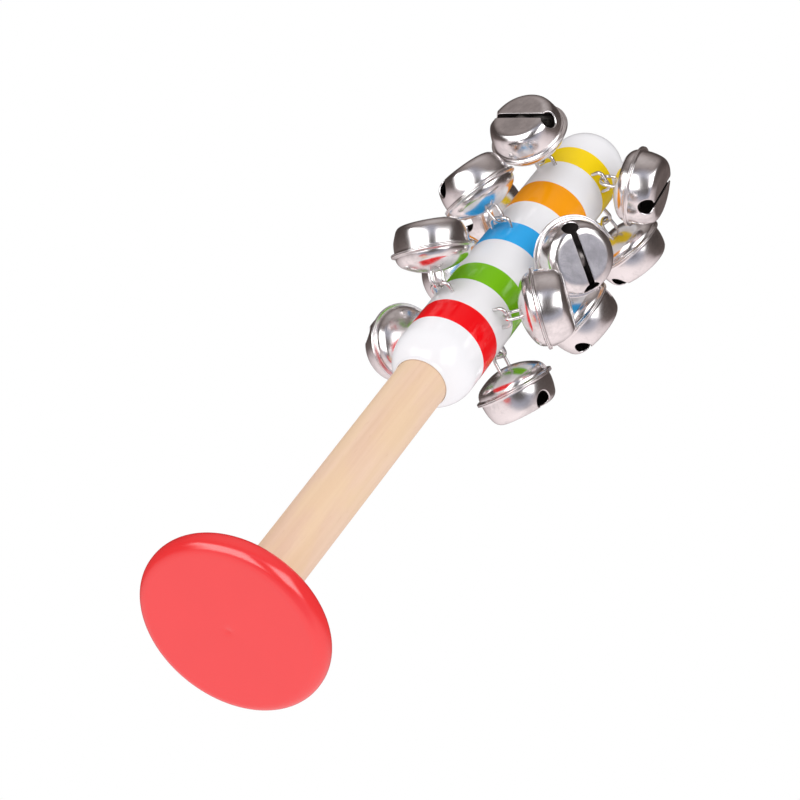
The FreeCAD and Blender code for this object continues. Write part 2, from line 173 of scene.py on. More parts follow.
# What shiny pieces mirror, by height on the camera's up axis: 0 is straight down, 1 straight up.
STUDIO_BY_HEIGHT = [
    (0.0, rgb(1.08, 0.98, 0.99)),
    (0.22, rgb(0.9, 0.81, 0.82)),
    (0.36, rgb(0.62, 0.54, 0.55)),
    (0.46, rgb(0.13, 0.1, 0.092)),
    (0.6, rgb(0.07, 0.052, 0.046)),
    (0.78, rgb(0.055, 0.04, 0.035)),
    (0.92, rgb(0.28, 0.24, 0.23)),
    (1.0, rgb(0.5, 0.46, 0.45)),
]
# Each softbox: left, right, bottom and top, as parts of a unit direction on the camera's axes.
SOFTBOXES = [(-0.88, -0.23, -0.12, 0.56), (0.25, 0.74, 0.0, 0.6)]
SOFTBOX_EDGE = 0.085
SOFTBOX_LIGHT = rgb(4.0, 4.0, 4.05)
# How squarely a direction faces the camera's side, where each of these fades in.
SOFTBOX_FADE = (0.05, 0.2)
FRONT_FADE = (0.5, 0.8)
CAMERA_FADE = (0.82, 0.95)
FRONT_GREY = rgb(0.36, 0.37, 0.44)
CAMERA_DARK = rgb(0.1, 0.09, 0.09)
# The light on matt surfaces is LIGHT_MIDDLE, plus LIGHT_SLOPE towards MAIN_LIGHT and less away
# from it. MAIN_LIGHT is right, up and back on the camera's axes.
LIGHT_MIDDLE = (1.075, 1.055, 1.095)
LIGHT_SLOPE = (0.15, 0.15, 0.14)
MAIN_LIGHT = (0.1, 0.0, 1.0)
WHITE = rgb(1, 1, 1)


def make_studio(right, up, back):
    """Soft white light all round, with two softboxes and a dark ceiling for what is shiny."""
    world = bpy.data.worlds.new("studio")
    bpy.context.scene.world = world
    world.use_nodes = True
    tree = world.node_tree
    tree.nodes.clear()
    towards = add_node(tree, "ShaderNodeTexCoord").outputs["Generated"]
    across = dot(tree, towards, right)
    height = dot(tree, towards, up)
    front = dot(tree, towards, back)

    half_height = calculate(tree, "MULTIPLY_ADD", height, 0.5, 0.5)
    shiny = ramp(tree, half_height, STUDIO_BY_HEIGHT)
    shiny = blend_colours(tree, soft_step(tree, front, *FRONT_FADE), shiny, FRONT_GREY)
    shiny = blend_colours(tree, soft_step(tree, front, *CAMERA_FADE), shiny, CAMERA_DARK)
    ahead = soft_step(tree, front, *SOFTBOX_FADE)
    for left_edge, right_edge, bottom, top in SOFTBOXES:
        wide = between(tree, across, left_edge, right_edge, SOFTBOX_EDGE)
        tall = between(tree, height, bottom, top, SOFTBOX_EDGE)
        window = calculate(tree, "MULTIPLY", wide, tall)
        window = calculate(tree, "MULTIPLY", window, ahead)
        shiny = blend_colours(tree, window, shiny, SOFTBOX_LIGHT)

    main = Vector(MAIN_LIGHT).normalized()
    lamp = right * main.x + up * main.y + back * main.z
    facing = dot(tree, towards, lamp)
    slope = add_node(tree, "ShaderNodeVectorMath", {0: LIGHT_SLOPE}, operation="SCALE")
    tree.links.new(facing, slope.inputs["Scale"])
    sum_inputs = {0: slope.outputs[0], 1: LIGHT_MIDDLE}
    matt = add_node(tree, "ShaderNodeVectorMath", sum_inputs, operation="ADD")

    rays = add_node(tree, "ShaderNodeLightPath")
    colour = blend_colours(tree, rays.outputs["Is Glossy Ray"], matt.outputs[0], shiny)
    colour = blend_colours(tree, rays.outputs["Is Camera Ray"], colour, WHITE)
    background = add_node(tree, "ShaderNodeBackground", {"Color": colour, "Strength": 1.0})
    add_node(tree, "ShaderNodeOutputWorld", {"Surface": background.outputs[0]})


FLOOR_REACH = 1.2
FLOOR_DROP = 0.3 * MM
FLOOR_FADE_START = 0.25
FLOOR_PALE = rgb(0.93, 0.93, 0.93)


def make_floor():
    """A pale floor under the foot, seen only from above, that fades into the white backdrop."""
    size = FLOOR_REACH
    level = cad_box[0].z - FLOOR_DROP
    signs = [(-1, -1), (1, -1), (1, 1), (-1, 1)]
    corners = [(x * size, y * size, level) for x, y in signs]
    mesh = bpy.data.meshes.new("floor")
    mesh.from_pydata(corners, [], [(0, 1, 2, 3)])
    floor = bpy.data.objects.new("floor", mesh)
    bpy.context.scene.collection.objects.link(floor)
    floor.visible_diffuse = False
    floor.visible_glossy = False
    floor.visible_transmission = False
    floor.visible_shadow = False
    material, tree = new_material("floor")
    place = add_node(tree, "ShaderNodeTexCoord").outputs["Object"]
    away = add_node(tree, "ShaderNodeVectorMath", {0: place}, operation="LENGTH")
    fade = soft_step(tree, away.outputs["Value"], FLOOR_FADE_START, size)
    from_below = add_node(tree, "ShaderNodeNewGeometry").outputs["Backfacing"]
    clear = calculate(tree, "MAXIMUM", fade, from_below)
    pale = add_node(tree, "ShaderNodeBsdfDiffuse", {"Color": FLOOR_PALE})
    nothing = add_node(tree, "ShaderNodeBsdfTransparent")
    mix_inputs = {0: clear, 1: pale.outputs[0], 2: nothing.outputs[0]}
    mixed = add_node(tree, "ShaderNodeMixShader", mix_inputs)
    tree.links.new(mixed.outputs[0], tree.nodes["Material Output"].inputs["Surface"])
    mesh.materials.append(material)


# ---- materials ----

ORANGE_PEEL = 0.012 * MM
WOOD_RELIEF = 0.03 * MM
SCRATCH_DEPTH = 0.0015 * MM

# Each noise's scale is in repeats per metre. A small number in a STRETCH draws the pattern out
# along that direction.
PAINT_WAVES = 60.0
PAINT_SPECKLE = 900.0
LATHE_RINGS = 500.0
LATHE_STRETCH = (0.25, 0.25, 1.0)
WOOD_BANDS = 230.0
WOOD_BANDS_STRETCH = (1.0, 1.0, 0.035)
WOOD_STREAKS = 900.0
WOOD_STREAKS_STRETCH = (1.0, 1.0, 0.02)
WOOD_FLECKS = 2600.0
WOOD_FLECKS_STRETCH = (1.0, 1.0, 0.09)
WOOD_DRIFT = 160.0
WOOD_DRIFT_STRETCH = (1.0, 1.0, 0.22)
STEEL_SMUDGES = 150.0
STEEL_HAZE = 90.0
STEEL_SCRATCHES = 1800.0
STEEL_SCRATCHES_STRETCH = (1.0, 0.12, 0.6)

PAINT_WAVE_HEIGHT = 3.0
PAINT_GLOSS_DRIFT = 0.12
PAINT_IOR = 1.5
WOOD_IOR = 1.45
WOOD_ROUGHNESS = 0.52
WOOD_GLOSS_DRIFT = 0.2
STEEL_GLOSS_DRIFT = 0.1
STREAK_SHARE = 0.55
FLECK_SHARE = 0.25
DRIFT_SHARE = 0.45

BEECH_LIGHT = rgb(0.81, 0.59, 0.42)
BEECH_DARK = rgb(0.7, 0.465, 0.315)
STREAK_LIGHT = rgb(0.82, 0.6, 0.435)
STREAK_DARK = rgb(0.76, 0.54, 0.365)
FLECK_BROWN = rgb(0.6, 0.35, 0.2)
DRIFT_YELLOW = rgb(0.81, 0.6, 0.35)


def new_material(name):
    material = bpy.data.materials.new(name)
    material.use_nodes = True
    return material, material.node_tree


def finish_surface(tree, colour, roughness, bump_height, bump_size, plain):
    """Sets the surface shader: colour, roughness, a bump bump_size metres deep, and any plain
    inputs by their names."""
    shader = tree.nodes["Principled BSDF"]
    values = {"Base Color": colour, "Roughness": roughness, **plain}
    for key, value in values.items():
        if isinstance(value, bpy.types.NodeSocket):
            tree.links.new(value, shader.inputs[key])
        else:
            shader.inputs[key].default_value = value
    inputs = {"Strength": 1.0, "Distance": bump_size, "Height": bump_height}
    bump = add_node(tree, "ShaderNodeBump", inputs)
    tree.links.new(bump.outputs["Normal"], shader.inputs["Normal"])


def object_place(tree, scale=(1, 1, 1)):
    """A point's place on its own piece, so that a pattern moves with it."""
    place = add_node(tree, "ShaderNodeTexCoord").outputs["Object"]
    return add_node(tree, "ShaderNodeMapping", {"Vector": place, "Scale": scale}).outputs[0]


def grain(tree, place, scale, detail=2.0, roughness=0.5, distortion=0.0):
    """Noise from 0 to 1."""
    inputs = {
        "Vector": place,
        "Scale": scale,
        "Detail": detail,
        "Roughness": roughness,
        "Distortion": distortion,
    }
    return add_node(tree, "ShaderNodeTexNoise", inputs).outputs["Fac"]


def around(tree, middle, value, swing):
    """Noise turned into a roughness, up to half of swing above or below middle."""
    return calculate(tree, "MULTIPLY_ADD", value, swing, middle - swing / 2)


def paint(name, colour, roughness=0.16, shine=0.4, unevenness=0.05):
    """Gloss paint on turned wood: slow waves, a fine orange peel and faint lathe rings."""
    material, tree = new_material(name)
    place = object_place(tree)
    slow = grain(tree, place, PAINT_WAVES)
    fine = grain(tree, place, PAINT_SPECKLE)
    rings = grain(tree, object_place(tree, LATHE_STRETCH), LATHE_RINGS)
    deep = darker(colour, 1 - unevenness)
    tint = ramp(tree, slow, [(0.35, deep), (0.65, colour)])
    dull = around(tree, roughness, slow, PAINT_GLOSS_DRIFT)
    waves = calculate(tree, "MULTIPLY", slow, PAINT_WAVE_HEIGHT)
    height = calculate(tree, "ADD", waves, fine)
    height = calculate(tree, "ADD", height, rings)
    plain = {"IOR": PAINT_IOR, "Specular IOR Level": shine}
    finish_surface(tree, tint, dull, height, ORANGE_PEEL, plain)
    return material


def bare_wood():
    """Pale beech: fine grain along the stick, short dark flecks and a little yellow drift."""
    material, tree = new_material("beech")
    streaks = grain(tree, object_place(tree, WOOD_STREAKS_STRETCH), WOOD_STREAKS, 4.0, 0.6)
    bands = grain(tree, object_place(tree, WOOD_BANDS_STRETCH), WOOD_BANDS, 3.0, 0.55, 0.4)
    flecks = grain(tree, object_place(tree, WOOD_FLECKS_STRETCH), WOOD_FLECKS)
    drift = grain(tree, object_place(tree, WOOD_DRIFT_STRETCH), WOOD_DRIFT, 3.0)
    colour = ramp(tree, bands, [(0.38, BEECH_DARK), (0.62, BEECH_LIGHT)])
    streaked = ramp(tree, streaks, [(0.3, STREAK_DARK), (0.6, STREAK_LIGHT)])
    colour = blend_colours(tree, STREAK_SHARE, colour, streaked)
    fleck = calculate(tree, "MULTIPLY", soft_step(tree, flecks, 0.66, 0.74), FLECK_SHARE)
    colour = blend_colours(tree, fleck, colour, FLECK_BROWN)
    warm = calculate(tree, "MULTIPLY", soft_step(tree, drift, 0.4, 0.65), DRIFT_SHARE)
    colour = blend_colours(tree, warm, colour, DRIFT_YELLOW)
    dull = around(tree, WOOD_ROUGHNESS, streaks, WOOD_GLOSS_DRIFT)
    relief = calculate(tree, "ADD", streaks, flecks)
    finish_surface(tree, colour, dull, relief, WOOD_RELIEF, {"IOR": WOOD_IOR})
    return material


def steel(name, colour, roughness, smudge, dents=0.0):
    """Steel with a slight haze, fine scratches from handling and smudges.

    smudge is how bright a smudge is beside the clean steel, and dents is how many times deeper
    than the scratches its slow dents are.
    """
    material, tree = new_material(name)
    place = object_place(tree)
    smudges = grain(tree, place, STEEL_SMUDGES, 5.0, 0.65)
    haze = grain(tree, place, STEEL_HAZE)
    scratches = grain(tree, object_place(tree, STEEL_SCRATCHES_STRETCH), STEEL_SCRATCHES)
    tint = ramp(tree, smudges, [(0.34, darker(colour, smudge)), (0.56, colour)])
    deep = calculate(tree, "MULTIPLY", haze, dents)
    height = calculate(tree, "ADD", deep, scratches)
    dull = around(tree, roughness, haze, STEEL_GLOSS_DRIFT)
    finish_surface(tree, tint, dull, height, SCRATCH_DEPTH, {"Metallic": 1.0})
    return material


# ---- mesh helpers ----

def new_piece(name, points, faces, materials, face_slots=None, place=None):
    """A smooth-shaded mesh piece. Its points are in metres in its own frame, and face_slots
    gives each face its material."""
    mesh = bpy.data.meshes.new(name)
    mesh.from_pydata([tuple(point) for point in points], [], faces)
    for material in materials:
        mesh.materials.append(material)
    if face_slots is not None:
        mesh.polygons.foreach_set("material_index", face_slots)
    work = bmesh.new()
    work.from_mesh(mesh)
    bmesh.ops.recalc_face_normals(work, faces=work.faces)
    work.to_mesh(mesh)
    work.free()
    mesh.polygons.foreach_set("use_smooth", [True] * len(mesh.polygons))
    piece = bpy.data.objects.new(name, mesh)
    bpy.context.scene.collection.objects.link(piece)
    if place is not None:
        piece.matrix_world = place
    return piece


def arc_points(centre, radius, start, end, count):
    """Points along an arc between two angles in degrees, both ends included."""
    angles = np.radians(np.linspace(start, end, count + 1))
    return [(centre[0] + radius * math.cos(a), centre[1] + radius * math.sin(a)) for a in angles]


def line_points(start, end, count):
    """Points from start to end, evenly spaced, without start."""
    steps = [(k + 1) / count for k in range(count)]
    return [(start[0] + (end[0] - start[0]) * t, start[1] + (end[1] - start[1]) * t) for t in steps]


def lathe(name, outline, segments, materials, slots=None, bend=None, place=None):
    """Turns an outline of (radius, height), which starts and ends on the axis, round +Z.

    slots gives each span of the outline its material. bend takes a point's radius, height and
    angle, and gives the radius and height it moves to.
    """
    turns = [2 * math.pi * k / segments for k in range(segments)]
    rings = []
    points = []
    for radius, height in outline:
        on_axis = radius < ON_AXIS
        ring = []
        for angle in turns[:1] if on_axis else turns:
            out, up = bend(radius, height, angle) if bend else (radius, height)
            ring.append(len(points))
            points.append((out * math.cos(angle), out * math.sin(angle), up))
        rings.append(ring * segments if on_axis else ring)
    faces = []
    face_slots = []
    for span, (low, high) in enumerate(zip(rings, rings[1:])):
        for k in range(segments):
            n = (k + 1) % segments
            corners = [low[k], low[n], high[n], high[k]]
            faces.append(tuple(dict.fromkeys(corners)))
            face_slots.append(slots[span] if slots else 0)
    return new_piece(name, points, faces, materials, face_slots, place)


# ---- foot, handle and head ----

WOOD_SEGMENTS = 160
HANDLE_SEGMENTS = 96
HANDLE_SPANS = 40
GLUE_GAP = 0.05 * MM
FOOT_ROUND = 3.7 * MM
FOOT_ROUND_SPANS = 12
FOOT_FLAT_SPANS = (14, 8)
FOOT_FLAT_STOP = 0.5 * MM
SOCKET_DEPTH = 5 * MM
SOCKET_EDGE = 0.3 * MM
PIP_RADIUS = 1.1 * MM
PIP_DEPTH = 0.3 * MM
PIP_SECTION = [(0, 1), (0.3, 0.9), (0.75, 0.25), (1, 0)]
FOOT_RIPPLES = 70.0
FOOT_RIPPLE_OUT = 0.02 * MM
FOOT_RIPPLE_UP = 0.015 * MM


def node_radius(node):
    """The radius of a turned CAD node that stands on the axis."""
    low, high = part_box(node)
    return (high.x - low.x) / 2


def make_foot(material):
    """The disc foot, with its soft rim and the faint mark that the lathe's centre left."""
    low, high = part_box("foot")
    top = high.z
    bottom = low.z
    bore = node_radius("handle") + GLUE_GAP
    bore_edge = bore + SOCKET_EDGE
    flat = node_radius("foot") - FOOT_ROUND
    outline = [(PIP_RADIUS * out, bottom + PIP_DEPTH * up) for out, up in PIP_SECTION]
    under, over = FOOT_FLAT_SPANS
    outline += line_points((PIP_RADIUS, bottom), (flat - FOOT_FLAT_STOP, bottom), under)
    outline += arc_points((flat, bottom + FOOT_ROUND), FOOT_ROUND, -90, 0, FOOT_ROUND_SPANS)
    outline += arc_points((flat, top - FOOT_ROUND), FOOT_ROUND, 0, 90, FOOT_ROUND_SPANS)
    outline += line_points((flat, top), (bore_edge, top), over)
    outline += arc_points((bore_edge, top - SOCKET_EDGE), SOCKET_EDGE, 120, 180, 3)
    outline += [(bore, top - SOCKET_DEPTH), (0, top - SOCKET_DEPTH)]

    def settle(radius, height, angle):
        spot = Vector((radius * math.cos(angle), radius * math.sin(angle), height))
        ripple = noise.noise(spot * FOOT_RIPPLES)
        below_top = height < top - MM
        lift = FOOT_RIPPLE_UP * ripple if below_top else 0
        return radius + FOOT_RIPPLE_OUT * ripple, height + lift

    return lathe("red_foot", outline, WOOD_SEGMENTS, [material], bend=settle)


HANDLE_CHAMFER = 0.8 * MM
SANDED_FLAT = 0.004
FLATS_ROUND = 2.0
FLATS_ALONG = 12.0


def make_handle(material):
    """The dowel, with its chamfered ends and the faint flats that sanding leaves."""
    low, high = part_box("handle")
    full = node_radius("handle")
    end = full - HANDLE_CHAMFER
    outline = [(0, low.z), (end, low.z), (full, low.z + HANDLE_CHAMFER)]
    outline += line_points(outline[-1], (full, high.z - HANDLE_CHAMFER), HANDLE_SPANS)
    outline += [(end, high.z), (0, high.z)]

    def sand(radius, height, angle):
        x = FLATS_ROUND * math.cos(angle)
        y = FLATS_ROUND * math.sin(angle)
        flats = noise.noise(Vector((x, y, height * FLATS_ALONG)))
        return radius * (1 + SANDED_FLAT * min(flats, 0.0)), height

    return lathe("wooden_handle", outline, HANDLE_SEGMENTS, [material], bend=sand)


HEAD_RADIUS = 12.7 * MM
TIP_RADIUS = 11.8 * MM
NECK_RADIUS = 8.4 * MM
SHOULDER_ROUND = 13 * MM
SHOULDER_END = 131 * MM
TIP_START = 240.5 * MM
BORE_EDGE = 0.2 * MM
BORE_CHAMFER = 0.1 * MM
NECK_EDGE = 0.15 * MM
SHOULDER_SPANS = 18
TIP_SPANS = 16
LAST_WHITE_SPANS = 4
# Each band's lower edge, upper edge and paint.
BANDS = {
    "red": (136.4 * MM, 145.8 * MM, rgb(0.9, 0.001, 0.005)),
    "green": (157.4 * MM, 166.5 * MM, rgb(0.19, 0.53, 0.001)),
    "blue": (179.9 * MM, 189.8 * MM, rgb(0.025, 0.42, 0.87)),
    "orange": (202.1 * MM, 214.1 * MM, rgb(0.95, 0.35, 0.001)),
    "yellow": (226.1 * MM, 234.9 * MM, rgb(0.99, 0.71, 0.001)),
}
BAND_ROUGHNESS = 0.15
BAND_SHINE = 0.3
BAND_RISE = 0.04 * MM
BAND_WANDER = 0.16 * MM
WANDER_ROUND = 1.6
WANDER_ALONG = 900.0


def head_radius(height):
    """The head narrows evenly from its shoulder to the start of its tip."""
    along = (height - SHOULDER_END) / (TIP_START - SHOULDER_END)
    return HEAD_RADIUS + along * (TIP_RADIUS - HEAD_RADIUS)


def make_head(white):
    """The painted head: each band is a thin coat over the white one, with a hand-held edge."""
    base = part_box("head")[0].z
    bore = node_radius("handle") + GLUE_GAP
    bore_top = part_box("handle")[1].z
    shoulder = (HEAD_RADIUS - SHOULDER_ROUND, SHOULDER_END)
    turn = math.degrees(math.acos((NECK_RADIUS - shoulder[0]) / SHOULDER_ROUND))
    outline = [(0, bore_top), (bore, bore_top), (bore, base + BORE_EDGE)]
    outline += [(bore + BORE_CHAMFER, base), (NECK_RADIUS - NECK_EDGE, base)]
    outline += [(NECK_RADIUS, base + NECK_EDGE)]
    outline += arc_points(shoulder, SHOULDER_ROUND, -turn, 0, SHOULDER_SPANS)
    slots = [0] * (len(outline) - 1)
    materials = [white]
    last = outline[-1]
    edges = []
    for number, (name, (start, end, colour)) in enumerate(BANDS.items(), start=1):
        materials.append(paint(f"{name}_paint", colour, BAND_ROUGHNESS, BAND_SHINE))
        for height, slot in ((start, 0), (end, number)):
            spans = max(2, round((height - last[1]) / MM))
            outline += line_points(last, (head_radius(height), height), spans)
            slots += [slot] * spans
            last = outline[-1]
            edges.append(height)
    outline += line_points(last, (head_radius(TIP_START), TIP_START), LAST_WHITE_SPANS)
    tip = arc_points((0, TIP_START), TIP_RADIUS, 0, 90, TIP_SPANS)[1:]
    tip[-1] = (0, TIP_START + TIP_RADIUS)
    outline += tip
    slots += [0] * (LAST_WHITE_SPANS + len(tip))

    def coat(radius, height, angle):
        x = WANDER_ROUND * math.cos(angle)
        y = WANDER_ROUND * math.sin(angle)
        wander = BAND_WANDER * noise.noise(Vector((x, y, height * WANDER_ALONG)))
        inside = any(start < height < end for start, end, _ in BANDS.values())
        on_edge = min(abs(height - edge) for edge in edges) < SAME_HEIGHT
        return radius + (BAND_RISE if inside else 0.0), height + (wander if on_edge else 0.0)

    return lathe("painted_head", outline, WOOD_SEGMENTS, materials, slots, coat)


# ---- bells ----

SHELL = 0.5 * MM
RIM_RADIUS = 12.3 * MM
RIM_THICKNESS = 0.45 * MM
CUP_RADIUS = 11.15 * MM
DOME_HEIGHT = 6.4 * MM
DOME_SKIRT = 0.6 * MM
DOME_CORNER = 3.6 * MM
CROWN_SPANS = 14
DOME_CORNER_SPANS = 12
DOME_INSIDE_SPANS = 8
SLOTTED_HEIGHT = 8.4 * MM
SLOTTED_CORNER = 3.2 * MM
SLOTTED_FACE = 7.3 * MM
SLOTTED_SIDE = 15 * MM
PIVOT_TO_RIM = 10 * MM
HOOK = 1.2 * MM
RIM_FILLET = 0.35 * MM
RIM_EDGE = 0.2 * MM
LIP_ROUND = 0.16 * MM
SEAM = 0.02 * MM
BELL_SEGMENTS = 96
WIDE_DENTS = 170.0
SMALL_DENTS = 420.0
SMALL_DENT_SHARE = 0.35
DOME_DENT = 0.035 * MM
# How far each slot is turned round its bell's own axis, in degrees.
SLOT_TURNS = {
    "1a": 107, "1b": 60, "1c": 125, "1d": 67,
    "2a": 180, "2b": 100, "2c": 150, "2d": 85,
    "3a": 200, "3b": 20, "3c": 263, "3d": 182,
}


def bell_frame(name):
    """The frame at the middle of a bell's rim: Z out through the slotted face, and X square to
    both that and the swing's axis.

    A loop that leans along the staple's wire uses up some slack, so its bell sits nearer.
    """
    swing = JOINTS[f"bell_{name}_swing"]
    hinge = Vector(swing["axis"]).normalized()
    out = Vector(JOINTS[f"pellet_{name}_travel"]["axis"]).normalized()
    lean = math.asin(-out.dot(hinge))
    slack = HOOK / math.cos(lean) - HOOK
    centre = Vector(swing["pos_m"]) + out * (PIVOT_TO_RIM - slack)
    across = hinge.cross(out).normalized()
    axes = Matrix((across, out.cross(across), out)).transposed().to_4x4()
    return Matrix.Translation(centre) @ axes


def rim_edge(side):
    """The rim's section from its fillet to the seam. side is 1 or -1 along the bell's axis."""
    top = RIM_THICKNESS
    edge = RIM_RADIUS - RIM_EDGE
    fillet = arc_points((CUP_RADIUS + RIM_FILLET, top + RIM_FILLET), RIM_FILLET, 180, 270, 4)
    flange = line_points(fillet[-1], (edge, top), 2)
    round_edge = arc_points((edge, top - RIM_EDGE), RIM_EDGE, 90, 0, 4)[1:]
    lip = arc_points((RIM_RADIUS - LIP_ROUND, SEAM + LIP_ROUND), LIP_ROUND, 0, -90, 3)
    points = fillet + flange + round_edge + lip
    return [(radius, side * height) for radius, height in points]


def dent(place, seed, depth):
    """A slow unevenness of the pressed sheet, in depth's unit. place is in metres."""
    wide = noise.noise(place * WIDE_DENTS + seed)
    small = noise.noise(place * SMALL_DENTS + seed)
    return depth * (wide + SMALL_DENT_SHARE * small)


def make_dome_cup(name, place, seed, outside, inside):
    """The shallow cup that the shank loop passes through: a crown, a corner and a short skirt."""
    rise = DOME_HEIGHT - DOME_SKIRT
    run = CUP_RADIUS - DOME_CORNER
    crown = (run ** 2 + rise ** 2 - DOME_CORNER ** 2) / (2 * (rise - DOME_CORNER))
    turn = math.degrees(math.asin(run / (crown - DOME_CORNER))) - 90
    hub = (0, crown - DOME_HEIGHT)
    corner = (run, -DOME_SKIRT)
    outer = arc_points(hub, crown, -90, turn, CROWN_SPANS)
    outer[0] = (0, -DOME_HEIGHT)
    outer += arc_points(corner, DOME_CORNER, turn, 0, DOME_CORNER_SPANS)[1:]
    rim = rim_edge(-1)
    inner = [(CUP_RADIUS - SHELL, -SEAM)]
    inner += arc_points(corner, DOME_CORNER - SHELL, 0, turn, DOME_INSIDE_SPANS)
    inner += arc_points(hub, crown - SHELL, turn, -90, DOME_INSIDE_SPANS)[1:]
    inner[-1] = (0, SHELL - DOME_HEIGHT)
    outline = outer + rim[1:] + inner
    slots = [0] * (len(outer) + len(rim) - 1) + [1] * (len(inner) - 1)

    def press(radius, height, angle):
        spot = Vector((radius * math.cos(angle), radius * math.sin(angle), height))
        push = dent(spot, seed, DOME_DENT) * min(1.0, abs(height) / MM)
        return radius * (1 + push / CUP_RADIUS), height * (1 + push / DOME_HEIGHT)

    piece = f"bell_{name}_domed_cup"
    return lathe(piece, outline, BELL_SEGMENTS, [outside, inside], slots, press, place)


# The slotted cup's sheet is laid out as a flat disc, in millimetres: a point's distance from
# the axis along the sheet, and its angle round the axis. The slot's edge is drawn on that disc,
# where the end hole is nearly an ellipse and the corner runs on from the edge of the face.
CORNER_START = 7.3
CORNER_LENGTH = 3.94
HOLE_MIDDLE = 10.74
HOLE_ALONG = 2.81
HOLE_ACROSS = 2.78
HOLE_ROUNDING = 0.34
SLOT_HALF = 0.9
SLOT_ROUNDING = 0.12
SLOT_END_ROUNDING = 0.1
INSIDE_ROUNDING = 0.06
ROUNDING_TURNS = (90, 67.5, 45, 22.5)
SHEET_EDGE = 15.2
SHEET_DENT = 0.03
# The angle on the disc that the join between hole and slot is drawn out to.
JUNCTION_ANGLE = 62
HOLE_STEPS = 18
SLOT_STEPS = 10
CORNER_STEPS = 24
SIDE_STEPS = 16
# Rows of points between the slot's edge and SHEET_EDGE, and from there to the rim. They crowd
# together at the slot's edge and on the corner.
OUTSIDE_ROWS = 26
INSIDE_ROWS = 14
OUTSIDE_WALL_ROWS = 5
INSIDE_WALL_ROWS = 4
OUTSIDE_WALL_STOP = 0.3
INSIDE_WALL_STOP = 0.4
CORNER_MARGIN = 0.4
CORNER_CROWDING = 2.2
EDGE_CROWDING = 2.5
EDGE_CROWDING_REACH = 0.5
FINE_STEPS = 240
INNER_FOOT_STEP = 0.09 * MM


def on_circle(radius, degrees):
    angle = math.radians(degrees)
    return (radius * math.cos(angle), radius * math.sin(angle))


def slot_quarter():
    """One quarter of the slot's edge, from its far end to its middle.

    Each row is a point of the edge, its matching point on the disc's outer circle, and how
    wide the edge is rounded there.
    """
    meet = 180 - math.degrees(math.asin(SLOT_HALF / HOLE_ACROSS))
    rows = []
    for k in range(HOLE_STEPS):
        turn = math.radians(meet * k / HOLE_STEPS)
        edge = (HOLE_MIDDLE + HOLE_ALONG * math.cos(turn), HOLE_ACROSS * math.sin(turn))
        outer = on_circle(SHEET_EDGE, JUNCTION_ANGLE * k / HOLE_STEPS)
        rows.append((edge, outer, HOLE_ROUNDING))
    start = HOLE_MIDDLE + HOLE_ALONG * math.cos(math.radians(meet))
    for k in range(SLOT_STEPS + 1):
        share = k / SLOT_STEPS
        edge = (start * (1 - share), SLOT_HALF)
        outer = on_circle(SHEET_EDGE, JUNCTION_ANGLE + (90 - JUNCTION_ANGLE) * share)
        rows.append((edge, outer, SLOT_ROUNDING + SLOT_END_ROUNDING * (1 - share) ** 4))
    return rows


def slot_columns():
    """The whole edge, as four mirrored quarters in order round the axis."""
    quarter = slot_quarter()
    forwards = quarter[:-1]
    backwards = quarter[:0:-1]
    columns = []
    for rows, x, y in ((forwards, 1, 1), (backwards, -1, 1), (forwards, -1, -1), (backwards, 1, -1)):
        for edge, outer, rounding in rows:
            columns.append(((x * edge[0], y * edge[1]), (x * outer[0], y * outer[1]), rounding))
    return columns


def slotted_section():
    """The sheet's section, in millimetres, from the face's middle to the rim.

    A flat face, a corner arc and a bowed side, whose arc starts where the corner's ends and
    stops at the wall's foot on the rim. Each row is a point's distance along the sheet, its
    radius, its height, and the angle of the sheet's normal from the bell's axis.
    """
    side = CUP_RADIUS / MM
    face = SLOTTED_FACE / MM
    corner = SLOTTED_CORNER / MM
    lip = RIM_THICKNESS / MM
    bow = SLOTTED_SIDE / MM
    height = SLOTTED_HEIGHT / MM
    corner_up = height - corner

    apart = math.hypot(side - face, corner_up - lip)
    reach = (bow ** 2 - (bow - corner) ** 2 + apart ** 2) / (2 * apart)
    across = math.sqrt(bow ** 2 - reach ** 2)
    inward = (side - face) / apart
    upward = (corner_up - lip) / apart
    bow_out = side - reach * inward - across * upward
    bow_up = lip + reach * upward - across * inward
    corner_end = math.atan2(face - bow_out, corner_up - bow_up)
    bow_end = math.acos((lip - bow_up) / bow)

    rows = [(0.0, 0.0, height, 0.0), (face, face, height, 0.0)]

    def add_arc(centre, radius, start, end, steps):
        before = rows[-1][0]
        for k in range(1, steps + 1):
            angle = start + (end - start) * k / steps
            out = centre[0] + radius * math.sin(angle)
            up = centre[1] + radius * math.cos(angle)
            rows.append((before + radius * (angle - start), out, up, angle))

    add_arc((face, corner_up), corner, 0.0, corner_end, CORNER_STEPS)
    add_arc((bow_out, bow_up), bow, corner_end, bow_end, SIDE_STEPS)
    return np.array(rows).T


